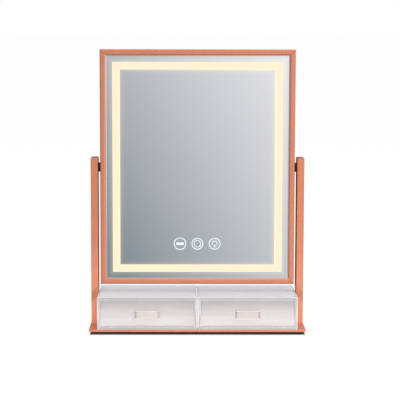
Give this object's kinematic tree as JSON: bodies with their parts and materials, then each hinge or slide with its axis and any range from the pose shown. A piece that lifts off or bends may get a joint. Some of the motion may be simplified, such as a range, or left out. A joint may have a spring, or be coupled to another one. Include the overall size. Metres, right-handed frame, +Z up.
{
  "type": "vanity mirror with drawer",
  "caption": "Table-top vanity mirror: a lit, tilting rectangular mirror held between two posts on a base plate, over clear drawers in clear cases.",
  "frame": {"origin": "middle of the base pad's underside, on the table", "axes": "+Z up, +X to the viewer's right along the pivot, -Y towards the viewer"},
  "size_m": [0.363, 0.139, 0.4725],
  "materials": {
    "rose_gold": "satin rose-gold paint",
    "black_rubber": "matt",
    "black_nylon": "satin",
    "steel": "zinc plated",
    "clear_acrylic": "clear, polished",
    "mirror": "silvered",
    "frosted_band": "etched, lit warm white from behind",
    "opal_plastic": "matt opal",
    "white_plastic": "matt",
    "light_chip": "phosphor",
    "circuit_board": "solder mask",
    "component_black": "matt",
    "copper_pad": "bare copper",
    "wire_black": "insulation",
    "wire_red": "insulation"
  },
  "bodies": {
    "stand": {"base_plate": "rose_gold", "base_pad": "black_rubber", "left_arm": "rose_gold", "right_arm": "rose_gold", "left_arm_cap": "rose_gold", "right_arm_cap": "rose_gold", "left_foot_block": "steel", "right_foot_block": "steel", "arm_screws": "steel", "left_pivot_washer": "black_nylon", "right_pivot_washer": "black_nylon", "left_pivot_bush": "black_nylon", "right_pivot_bush": "black_nylon", "left_case": "clear_acrylic", "right_case": "clear_acrylic"},
    "mirror_head": {"frame_top": "rose_gold", "frame_bottom": "rose_gold", "frame_left": "rose_gold", "frame_right": "rose_gold", "corner_keys": "steel", "mirror_glass": "mirror", "light_band": "frosted_band", "light_diffuser": "opal_plastic", "light_channel": "white_plastic", "led_strip_top": "white_plastic", "led_strip_bottom": "white_plastic", "led_strip_left": "white_plastic", "led_strip_right": "white_plastic", "led_chips": "light_chip", "back_cover": "rose_gold", "back_screws": "steel", "left_pivot_block": "steel", "right_pivot_block": "steel", "left_pivot_stud": "steel", "right_pivot_stud": "steel", "left_spring_washer": "steel", "right_spring_washer": "steel", "left_lock_nut": "steel", "right_lock_nut": "steel", "control_board": "circuit_board", "board_components": "component_black", "board_standoffs": "white_plastic", "touch_board": "circuit_board", "touch_pads": "copper_pad", "power_socket": "black_nylon", "socket_pin": "steel", "power_leads": "wire_black", "touch_lead": "white_plastic", "led_lead": "wire_red"},
    "left_drawer": {"left_drawer": "clear_acrylic", "left_pull": "clear_acrylic"},
    "right_drawer": {"right_drawer": "clear_acrylic", "right_pull": "clear_acrylic"}
  },
  "joints": [
    {"name": "mirror_tilt", "type": "hinge", "parent": "stand", "child": "mirror_head", "pos_m": [0, 0, 0.274], "axis": [1, 0, 0], "range_deg": [-90, 90]},
    {"name": "left_drawer_slide", "type": "slide", "parent": "stand", "child": "left_drawer", "axis": [0, -1, 0], "range_m": [0, 0.085]},
    {"name": "right_drawer_slide", "type": "slide", "parent": "stand", "child": "right_drawer", "axis": [0, -1, 0], "range_m": [0, 0.085]}
  ]
}
